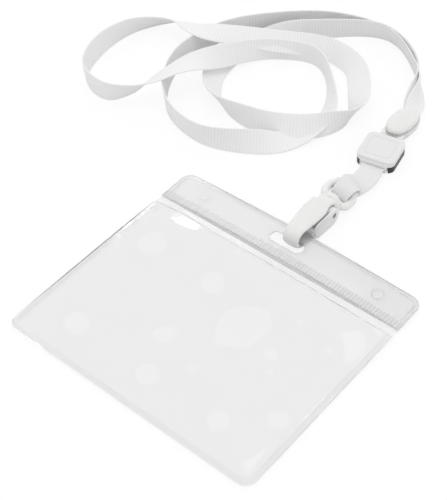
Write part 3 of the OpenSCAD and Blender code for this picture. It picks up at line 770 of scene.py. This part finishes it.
def dense(path, step=0.8):
    """The path with points no more than about step apart."""
    out = []
    for a, b in zip(path[:-1], path[1:]):
        k = max(1, int(math.dist(a, b) / step))
        out += [(a[0] + (b[0] - a[0]) * i / k, a[1] + (b[1] - a[1]) * i / k) for i in range(k)]
    return out + [path[-1]]


def inset_path(inset, y_from, y_to):
    """The wallet's outline moved inwards, cut to y_from..y_to, from one side over the top or bottom to the other."""
    r = max(0.4, CORNER_R - inset)
    pts = round_box(POUCH_W - 2 * inset, POUCH_H - 2 * inset, r, 12)
    if y_to > 40:
        top = [p for p in pts if p[1] > 0]
        return dense([(top[0][0], y_from)] + top + [(top[-1][0], y_from)])
    low = [p for p in pts if p[1] < 0]
    return dense([(low[0][0], y_to)] + low + [(low[-1][0], y_to)])


def add_beads(ob, parts, mat):
    """Joins the beads to a film as a second material of it."""
    extra = joined("beads", parts, mat)
    k = len(ob.data.materials)
    ob.data.materials.append(mat)
    extra.data.materials.clear()
    for m in ob.data.materials:
        extra.data.materials.append(m)
    for f in extra.data.polygons:
        f.material_index = k
    merge(ob, extra)


def top_z(x, y):
    return back_z(x, y) + FILM_T + HEADER_T2


def front_z(x, y):
    return front_low(x, y) + FILM_T


header_beads = [
    bead(inset_path(1.7, HEADER_Y + 4.0, 99), 0.28, top_z),
    bead(inset_path(0.35, HEADER_Y + 0.3, 99), 0.22, top_z),
    bead(dense([(-POUCH_W / 2 + 0.4, HEADER_Y + 0.1), (POUCH_W / 2 - 0.4, HEADER_Y + 0.1)]), 0.12, top_z),
    bead([(x * 1.03, SLOT_Y + (y - SLOT_Y) * 1.06) for x, y in slot_outline], 0.2, top_z, closed=True)]
RING_X, RING_Y, RING_R = 40.3, POUCH_H / 2 - 7.3, 2.3
for side in (-1, 1):
    ring = [(side * RING_X + RING_R * math.cos(t), RING_Y + RING_R * math.sin(t))
            for t in np.linspace(0, 2 * math.pi, 40)[:-1]]
    header_beads.append(bead(ring, 0.36, top_z, closed=True))
add_beads(header_film, header_beads, BEAD_PAINTED_SHADE)
add_beads(front_film, [
    bead(inset_path(1.9, -99, FRONT_TOP - 0.3), 0.24, front_z),
    bead(inset_path(0.35, -99, FRONT_TOP - 0.3), 0.2, front_z),
    bead(dense([(-POUCH_W / 2 + 0.5, FRONT_TOP - 0.1), (POUCH_W / 2 - 0.5, FRONT_TOP - 0.1)]), 0.14, front_z)], RIM)

for ob, cad_node, slot_name in (
        (back_film, "back_panel", "clear_vinyl"), (front_film, "front_panel", "clear_vinyl"),
        (weld_rim, "edge_weld", "welded_vinyl"), (header_film, "header_strip", "welded_vinyl")):
    draw_in(ob)
    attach(ob, "badge")
    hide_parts(cad_node)


# ---------------------------------------------------------------- hook
def band(path, n=28, power=2.6):
    """Tube with a rounded oblong section. path rows: y, z, half width, half thickness."""
    p = spline([(0.0, a, b, w, t) for a, b, w, t in path], 0.4)
    t = np.gradient(p[:, 1:3], axis=0)
    t /= np.linalg.norm(t, axis=1)[:, None]
    verts = []
    for q, d in zip(p, t):
        for k in range(n):
            a = 2 * math.pi * k / n
            c, s = math.cos(a), math.sin(a)
            u = math.copysign(abs(c)**(2 / power), c) * q[3]
            v = math.copysign(abs(s)**(2 / power), s) * q[4]
            verts.append((HOOK_X + u, q[1] - d[1] * v, q[2] + d[0] * v))
    return verts, tube_faces(len(p), n)


def disc_x(y, z, r, x0, x1):
    return lathe(0, (HOOK_X, y, z), [(x0, r), (x1, r)], 40)


# the arm runs from the head down through the slot and back, and ends in the nose (y, z outline)
arm = [(63.9, 7.95, 3.8, 1.05), (62.2, 8.25, 3.35, 1.2), (60.0, 8.35, 3.3, 1.15), (58.2, 8.4, 3.9, 1.1),
       (56.8, 8.4, 4.3, 1.1), (54.0, 8.45, 4.42, 1.1), (50.5, 8.45, 4.3, 1.1), (47.0, 8.4, 3.9, 1.15),
       (44.0, 8.15, 3.6, 1.2), (41.6, 6.9, 3.5, 1.25), (40.8, 4.8, 3.5, 1.25), (41.5, 2.7, 3.45, 1.15),
       (43.6, 1.2, 3.4, 0.95), (47.0, 0.95, 3.9, 0.9), (49.2, 0.95, 4.3, 0.9), (50.6, 0.95, 4.35, 0.88)]
nose = [(49.0, 0.3), (50.6, 0.25), (50.6, 5.2), (50.0, 5.6), (49.3, 5.0), (49.0, 3.6)]
hook_parts = [band(arm), prism(nose, -4.35, 4.35, 0, (HOOK_X, 0, 0))]
for a, b in ((-CHEEK, -1.15), (1.15, CHEEK)):
    hook_parts.append(disc_x(PIN_Y, PIN_Z, 2.05, a, b))
    hook_parts.append(box(HOOK_X + a, HOOK_X + b, PIN_Y - 2.05, PIN_Y + 2.05, PIN_Z, 8.2))
hook_parts.append(box(HOOK_X - CHEEK, HOOK_X + CHEEK, PIN_Y - 1.5, 63.6, 7.0, 8.9))
hook_parts.append(lathe(1, (HOOK_X, 0, AXIS_Z), [
    (61.6, 2.7), (63.0, 2.9), (63.25, 4.3), (63.5, 4.5), (63.9, 4.45), (64.1, 4.2), (64.15, 1.6), (63.4, 1.6),
    (63.4, 2.4), (61.6, 2.2)], 56))
hook = joined("hook_shell", hook_parts, WHITE)
settle(hook, 0.14, 4)
gate_parts = [
    prism([(53.7, 0.05), (PIN_Y + 1.2, 0.05), (PIN_Y + 1.6, 2.2), (53.7, 2.15)], -4.0, 4.0, 0, (HOOK_X, 0, 0)),
    box(HOOK_X - 4.4, HOOK_X + 4.4, 51.65, 54.2, 0.7, 2.2),
    prism([(51.8, 1.0), (57.6, 1.0), (57.6, 5.9), (56.0, 5.4), (54.0, 4.7), (51.8, 3.8)],
          -4.75, 4.75, 0, (HOOK_X, 0, 0))]
# y, z outline of the lever's side walls
wall = [(50.7, 0.4), (54.2, 0.3), (58.0, 0.3), (PIN_Y + 0.4, 0.35), (PIN_Y + 2.4, 1.9), (PIN_Y + 2.95, PIN_Z),
        (PIN_Y + 1.9, 7.0), (PIN_Y - 1.2, 7.6), (57.6, 7.6), (55.6, 7.7), (53.6, 7.7), (51.6, 7.6), (50.2, 7.2),
        (49.4, 6.3), (49.2, 4.8), (49.4, 3.4), (49.9, 1.9)]
for side in (-1, 1):
    v = [(HOOK_X + side * WALL_IN, y, z) for y, z in wall]
    v += [(HOOK_X + side * np.interp(y, [48.8, 51, 57, 64], [4.95, 5.15, 5.4, 5.4]), y, z) for y, z in wall]
    gate_parts.append((v, prism_faces(len(wall))))
    a, b = sorted((side * 3.0, side * 5.4))
    gate_parts.append(disc_x(PIN_Y, PIN_Z, 2.9, a, b))
    a, b = sorted((side * 3.9, side * 5.0))
    gate_parts.append(box(HOOK_X + a, HOOK_X + b, 51.7, PIN_Y, 0.4, 2.2))
gate = joined("gate_lever", gate_parts, WHITE)
settle(gate, 0.13, 3)
pin = outward(add_mesh("hinge_pin", *lathe(0, (HOOK_X, PIN_Y, PIN_Z), [
    (-5.55, 0.8), (-5.45, 1.05), (-4.6, 1.1), (4.6, 1.1), (5.45, 1.05), (5.55, 0.8)], 32), STEEL))
# spring: four turns of 36 steps round the pin, with a straight leg at each end
COIL_R, COIL_HALF, COIL_TURNS, TURN_STEPS = 1.25, 0.75, 4, 36
coil_pts = [(-COIL_HALF, -COIL_R, -2.0), (-COIL_HALF, -COIL_R, -1.0)]
for i in range(COIL_TURNS * TURN_STEPS + 1):
    t = 2 * math.pi * i / TURN_STEPS
    coil_pts.append((-COIL_HALF + 2 * COIL_HALF * i / (COIL_TURNS * TURN_STEPS),
                     -COIL_R * math.cos(t), COIL_R * math.sin(t)))
coil_pts += [(COIL_HALF, -COIL_R, 1.0), (COIL_HALF, -COIL_R, 2.5)]


def wire(name, pts, r, mat, n=10):
    """Round wire along pts."""
    p = np.array(pts, float)
    t = np.gradient(p, axis=0)
    t /= np.linalg.norm(t, axis=1)[:, None]
    verts = []
    ref = np.array([1.0, 0, 0])
    for q, d in zip(p, t):
        a = ref - d * ref.dot(d)
        a /= np.linalg.norm(a)
        b = np.cross(d, a)
        ref = a
        for k in range(n):
            u = 2 * math.pi * k / n
            verts.append(q + r * (math.cos(u) * a + math.sin(u) * b))
    return outward(add_mesh(name, verts, tube_faces(len(p), n), mat))


spring = wire("coil_spring", [(HOOK_X + a, PIN_Y + b, PIN_Z + c) for a, b, c in coil_pts], 0.17, SPRING)
for ob, cad_node, body, slot_name in (
        (hook, "hook_body", "hook", "white_plastic"), (gate, "hook_gate", "gate", "white_plastic"),
        (pin, "gate_pin", "hook", "steel"), (spring, "gate_spring", "hook", "steel")):
    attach(ob, body)
    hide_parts(cad_node)

# ---------------------------------------------------------------- swivel eye
eye_path = []
for k in range(81):
    t = 2 * math.pi * k / 80
    c, s = math.cos(t), math.sin(t)
    power = 0.65 if c > 0 else 0.85
    eye_path.append((EYE_HALF_W * math.copysign(abs(s)**power, s),
                     EYE_Y - EYE_HALF_L * math.copysign(abs(c)**power, c)))


def ring_tube(path, half_w, half_h, z, n=20):
    """Closed tube with an oval section along a path whose last point is its first."""
    verts = []
    p = np.array(path[:-1], float)
    m = len(p)
    t = np.roll(p, -1, 0) - np.roll(p, 1, 0)
    t /= np.linalg.norm(t, axis=1)[:, None]
    for i in range(m):
        nx, ny = t[i][1], -t[i][0]
        for k in range(n):
            a = 2 * math.pi * k / n
            r = half_w * math.cos(a)
            verts.append((HOOK_X + p[i][0] + nx * r, p[i][1] + ny * r, z + half_h * math.sin(a)))
    return verts, tube_faces(m, n, closed=True)


def turned(ob, deg):
    """Turns a mesh about the hook's axis."""
    c = Vector((HOOK_X * MM, 0, AXIS_Z * MM))
    ob.data.transform(Matrix.Translation(c) @ Matrix.Rotation(math.radians(deg), 4, "Y") @ Matrix.Translation(-c))


eye_parts = [
    ring_tube(eye_path, 1.6, 1.6, AXIS_Z),
    lathe(1, (HOOK_X, 0, AXIS_Z), [
        (62.4, 1.5), (62.5, 2.1), (63.1, 2.1), (63.2, 1.45), (64.35, 1.45), (64.4, 3.7), (64.6, 4.0), (65.4, 4.15),
        (66.6, 4.1), (67.1, 3.8), (67.5, 3.0)], 48),
    lathe(0, (HOOK_X, BAR_Y, AXIS_Z), [(-5.2, BAR_R), (5.2, BAR_R)], 32)]
eye = joined("eye_ring", eye_parts, WHITE)
settle(eye, 0.14, 4)
turned(eye, EYE_TURN)
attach(eye, "swivel")
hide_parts("swivel_eye")


# ---------------------------------------------------------------- tab ribbon, looped over the eye's far bar
# rows x, y, z, turn about Y, turn about Z, share of the width
TAB_ROWS = [
    (1.35, 96.3, 2.5, 0, 12, 1), (2.15, 93.2, 2.5, 1, 11, 1),
    (3.6, 89.0, 2.6, 4, 4, 0.97), (4.2, 85.5, 2.75, 8, 0, 0.97),
    (4.1, 82.0, 2.75, 12, 0, 0.96), (3.6, 79.0, 2.5, 16, 0, 0.93), (3.0, 76.5, 2.15, 18, 0, 0.85),
    (2.6, 73.4, 2.1, 18, 0, 0.78), (2.6, 71.0, 2.6, 18, 0, 0.74), (2.6, 69.9, 4.2, 18, 0, 0.74),
    (2.6, 70.7, 6.2, 18, 2, 0.76), (2.6, 72.4, 7.4, 18, 0, 0.8), (2.6, 74.6, 7.7, 18, -4, 0.85),
    (2.7, 76.6, 7.1, 18, -10, 0.88), (2.9, 78.6, 5.5, 17, -18, 0.86), (3.2, 80.5, 3.9, 15, -24, 0.82)]
tab_run, tab_at = even(spline(TAB_ROWS, 0.3), 0.2)
turn, yaw = np.radians(tab_run[:, 3]), np.radians(tab_run[:, 4])
tab_wide = np.stack([np.cos(turn) * np.cos(yaw), np.sin(yaw), -np.sin(turn) * np.cos(yaw)], 1) * tab_run[:, 5:6]
tab_run[:, 0] += np.sin(turn) * (tab_run[:, 2] - AXIS_Z)
flap = np.clip((tab_at - 18) / 6, 0, 1)
tab = strip("tab_ribbon", tab_run[:, :3], tab_wide, tab_at, TAB_RIBBON_PAINTED_SHADE,
            width=TAB_W, thick=0.8, rib_mm=0.05 + 0.2 * flap, seed=8.0)
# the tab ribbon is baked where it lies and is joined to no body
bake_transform(tab)
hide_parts("tab_strap")
stitch = []
for k, side in ((-4, 0.43), (-9, 0.43), (-4, -0.43), (-9, -0.43)):
    # the rows of stitches sit on the flap (counted from its end) and under the layer below it
    if side > 0:
        i = len(tab_run) + k
    else:
        i = int(np.argmin(np.abs(tab_run[:, 1] - tab_run[k, 1]) + 9 * (tab_at > tab_at[-1] / 2)))
    c, w = tab_run[i, :3], tab_wide[i] / np.linalg.norm(tab_wide[i])
    along = tab_run[min(i + 1, len(tab_run) - 1), :3] - tab_run[i - 1, :3]
    up = np.cross(w, along / np.linalg.norm(along))
    up *= 1 if up[2] * side > 0 else -1
    for j in range(3):
        v, f = lathe(0, (0, 0, 0), [(-0.6, 0.06), (-0.45, 0.12), (0.45, 0.12), (0.6, 0.06)], 10)
        stitch.append(([tuple(c + w * ((j - 1) * 2.1 + q[0]) + up * (0.42 + q[2]) + np.array([0, q[1], 0]))
                        for q in v], f))
thread = joined("tab_thread", stitch, THREAD)
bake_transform(thread)
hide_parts("tab_stitches")


# ---------------------------------------------------------------- buckle
def placed(ob, x, y, yaw):
    ob.data.transform(Matrix.Translation((x * MM, y * MM, 0)) @ Matrix.Rotation(math.radians(yaw), 4, "Z"))


def block(name, verts, faces):
    """Object without a material, to cut or to be cut."""
    return outward(add_mesh(name, verts, faces, None))


def slab(w, l, r, z0, z1, at=(0, 0)):
    return prism([(at[0] + p[0], at[1] + p[1]) for p in round_box(w, l, r)], z0, z1, 2)


def cut_with(ob, tools):
    """Takes the tools away from ob and removes them."""
    for t in tools:
        m = ob.modifiers.new("cut", "BOOLEAN")
        m.operation = "DIFFERENCE"
        m.solver = "EXACT"
        m.object = t
    applied(ob)
    for t in tools:
        bpy.data.objects.remove(t)


def finished(ob, name, mat, smooth):
    """Names ob, gives it one material, rounds it and puts it in the buckle's place."""
    ob.name = name
    ob.data.materials.clear()
    ob.data.materials.append(mat)
    settle(ob, 0.14, smooth)
    placed(ob, *BUCKLE)


BUCKLE_HALF = (15.8, 15.2, 2.8)   # width, length and corner radius of each half
# cover: a shallow groove round its face, the channel for the tongue below, and the lip that the strap goes into
cover = block("cover_block", *slab(*BUCKLE_HALF, 2.95, 5.4))
groove = block("groove", *slab(11.4, 10.8, 1.3, 5.1, 6.0))
cut_with(groove, [block("groove_inside", *slab(10.2, 9.6, 0.9, 4.9, 6.2))])
cut_with(cover, [groove, block("channel", *box(-2.7, 2.7, -0.5, 9.0, 2.0, 3.6)),
                 block("channel_top", *box(-4.2, 4.2, -0.5, 9.0, 3.2, 4.5))])
lip = block("lip_block", *slab(11.4, 3.8, 0.7, 0.5, 4.2, (0, -6.5)))
cut_with(lip, [block("strap_slot", *box(-4.9, 4.9, -9.0, -5.0, 1.15, 3.05))])
merge(cover, lip)
finished(cover, "buckle_top", COVER, 4)
# base: room for the lip, and the tongue that slides in the channel
base = block("base_block", *slab(*BUCKLE_HALF, 0.03, 2.9))
cut_with(base, [block("lip_room", *box(-6.0, 6.0, -9.0, -4.3, -1.0, 4.0))])
bm = bmesh.new()
bm.from_mesh(base.data)
for v, f in (box(-2.5, 2.5, -0.3, 7.55, 2.6, 3.6), box(-4.0, 4.0, -0.3, 7.55, 3.4, 4.3)):
    vs = [bm.verts.new((p[0] * MM, p[1] * MM, p[2] * MM)) for p in v]
    for q in f:
        bm.faces.new([vs[i] for i in q])
bm.to_mesh(base.data)
bm.free()
finished(base, "buckle_bottom", BLACK, 3)
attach(cover, "tab")
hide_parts("buckle_cover")
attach(base, "lanyard")
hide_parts("buckle_base")

# ---------------------------------------------------------------- stub ribbon, two layers
stub_pts = [(-0.6, 105.5, 1.9), (-1.1, 108.0, 1.95), (-1.5, 109.8, 2.4), (-1.7, 111.5, 3.0), (-1.8, 113.5, 3.3)]
stub_parts = []
for k, dz in enumerate((-0.38, 0.38)):
    q, q_at = even(spline([(a, b, c + dz) for a, b, c in stub_pts], 0.3), 0.22)
    yaw = np.radians(np.interp(q[:, 1], [105.5, 113.5], [12.0, 0.0]))
    q_wide = np.stack([np.cos(yaw), np.sin(yaw), 0 * yaw], 1)
    stub_parts.append(strip(f"stub{k}", q, q_wide, q_at, RIBBON, width=9.6, seed=k + 1.0))
stub = stub_parts[0]
merge(stub, stub_parts[1])
stub.name = "ribbon_stub"
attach(stub, "lanyard")
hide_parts("strap_stub")


# ---------------------------------------------------------------- crimp: two domed oval shells
def crimp_shell(name, up, wide, long, tall, dx, dy):
    """Shell from the seam up (1) or down (-1), of half width wide and half length long, moved by dx, dy."""
    # share of the half width and height over the seam, from the middle of the flat side out and over the dome
    profile = [(0.02, 0.0), (1.0, 0.0), (0.998, 0.9), (0.98, 1.6), (0.945, 2.2), (0.89, 2.65), (0.81, 2.95),
               (0.72, 3.12), (0.6, 3.24), (0.4, 3.34), (0.2, 3.38), (0.02, 3.4)]
    verts = []
    n = 72
    for share, h in profile:
        for k in range(n):
            t = 2 * math.pi * k / n
            c, s = math.cos(t), math.sin(t)
            inset = (1 - share) * 5.2
            a, b = max(0.05, wide - inset), max(0.05, long - inset * 1.15)
            verts.append((CRIMP[0] + dx + a * math.copysign(abs(c)**0.92, c),
                          CRIMP[1] + dy + b * math.copysign(abs(s)**0.92, s), CRIMP_SEAM_Z + up * h * tall))
    return outward(add_mesh(name, verts, tube_faces(len(profile), n), WHITE))


for name, cad_node, form in (("crimp_top", "crimp_front", (1, 5.25, 8.8, 0.735, -0.15, 0.3)),
                             ("crimp_bottom", "crimp_back", (-1, 5.4, 9.0, 1.25, 0.0, 0.2))):
    ob = crimp_shell(name, *form)
    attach(ob, "lanyard")
    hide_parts(cad_node)

# ---------------------------------------------------------------- floor, world, light
FLOOR_HALF, FLOOR_Z = 3, -0.0001
me = bpy.data.meshes.new("floor")
corners = [(x * FLOOR_HALF, y * FLOOR_HALF, FLOOR_Z) for x, y in ((-1, -1), (1, -1), (1, 1), (-1, 1))]
me.from_pydata(corners, [], [(0, 1, 2, 3)])
floor = bpy.data.objects.new("floor", me)
scene.collection.objects.link(floor)
m = bpy.data.materials.new("floor")
m.use_nodes = True
nt = m.node_tree
nt.nodes.remove(nt.nodes["Principled BSDF"])
lp = node(nt, "ShaderNodeLightPath")


def shown_to(tree, path):
    """1 for the rays that show the background: camera, glossy and transmission rays."""
    seen = path.outputs["Is Camera Ray"]
    for ray in ("Is Transmission Ray", "Is Glossy Ray"):
        seen = calc(tree, "MAXIMUM", seen, path.outputs[ray])
    return seen


# the floor shows nearly white, and a part of its look is lit, so that it keeps the object's shadow
share = calc(nt, "MULTIPLY", shown_to(nt, lp), 0.8)
diffuse = node(nt, "ShaderNodeBsdfDiffuse", Color=(0.86, 0.86, 0.86, 1))
glow = node(nt, "ShaderNodeEmission", Color=(1, 1, 1, 1), Strength=1.05)
mix = node(nt, "ShaderNodeMixShader")
nt.links.new(share, mix.inputs[0])
nt.links.new(diffuse.outputs[0], mix.inputs[1])
nt.links.new(glow.outputs[0], mix.inputs[2])
nt.links.new(mix.outputs[0], nt.nodes["Material Output"].inputs["Surface"])
me.materials.append(m)

world = bpy.data.worlds.new("studio")
scene.world = world
world.use_nodes = True
wt = world.node_tree
lp = node(wt, "ShaderNodeLightPath")
wm = node(wt, "ShaderNodeMix", data_type="RGBA")
wt.links.new(shown_to(wt, lp), wm.inputs[0])
wm.inputs[6].default_value = (0.80, 0.80, 0.80, 1)
wm.inputs[7].default_value = (1, 1, 1, 1)
wt.links.new(wm.outputs[2], wt.nodes["Background"].inputs["Color"])


def area(name, at, aim, size, power):
    """Round lamp, in metres and watts, that shows in no reflection."""
    d = bpy.data.lights.new(name, "AREA")
    d.shape = "DISK"
    d.size = size
    d.energy = power
    o = bpy.data.objects.new(name, d)
    scene.collection.objects.link(o)
    o.location = at
    o.rotation_mode = "QUATERNION"
    o.rotation_quaternion = (Vector(aim) - Vector(at)).to_track_quat("-Z", "Y")
    o.visible_glossy = False
    return o


area("top_box", (0.0, 0.15, 1.2), (-0.03, 0.06, 0), 0.8, 1.8)
area("back_box", (-0.8, 1.2, 1.0), (-0.03, 0.06, 0), 0.8, 2.0)
# a small lamp that does show in the vinyl's gloss
area("glint", (-0.86, 0.70, 1.0), (-0.05, 0.02, 0), 0.1, 0.2).visible_glossy = True
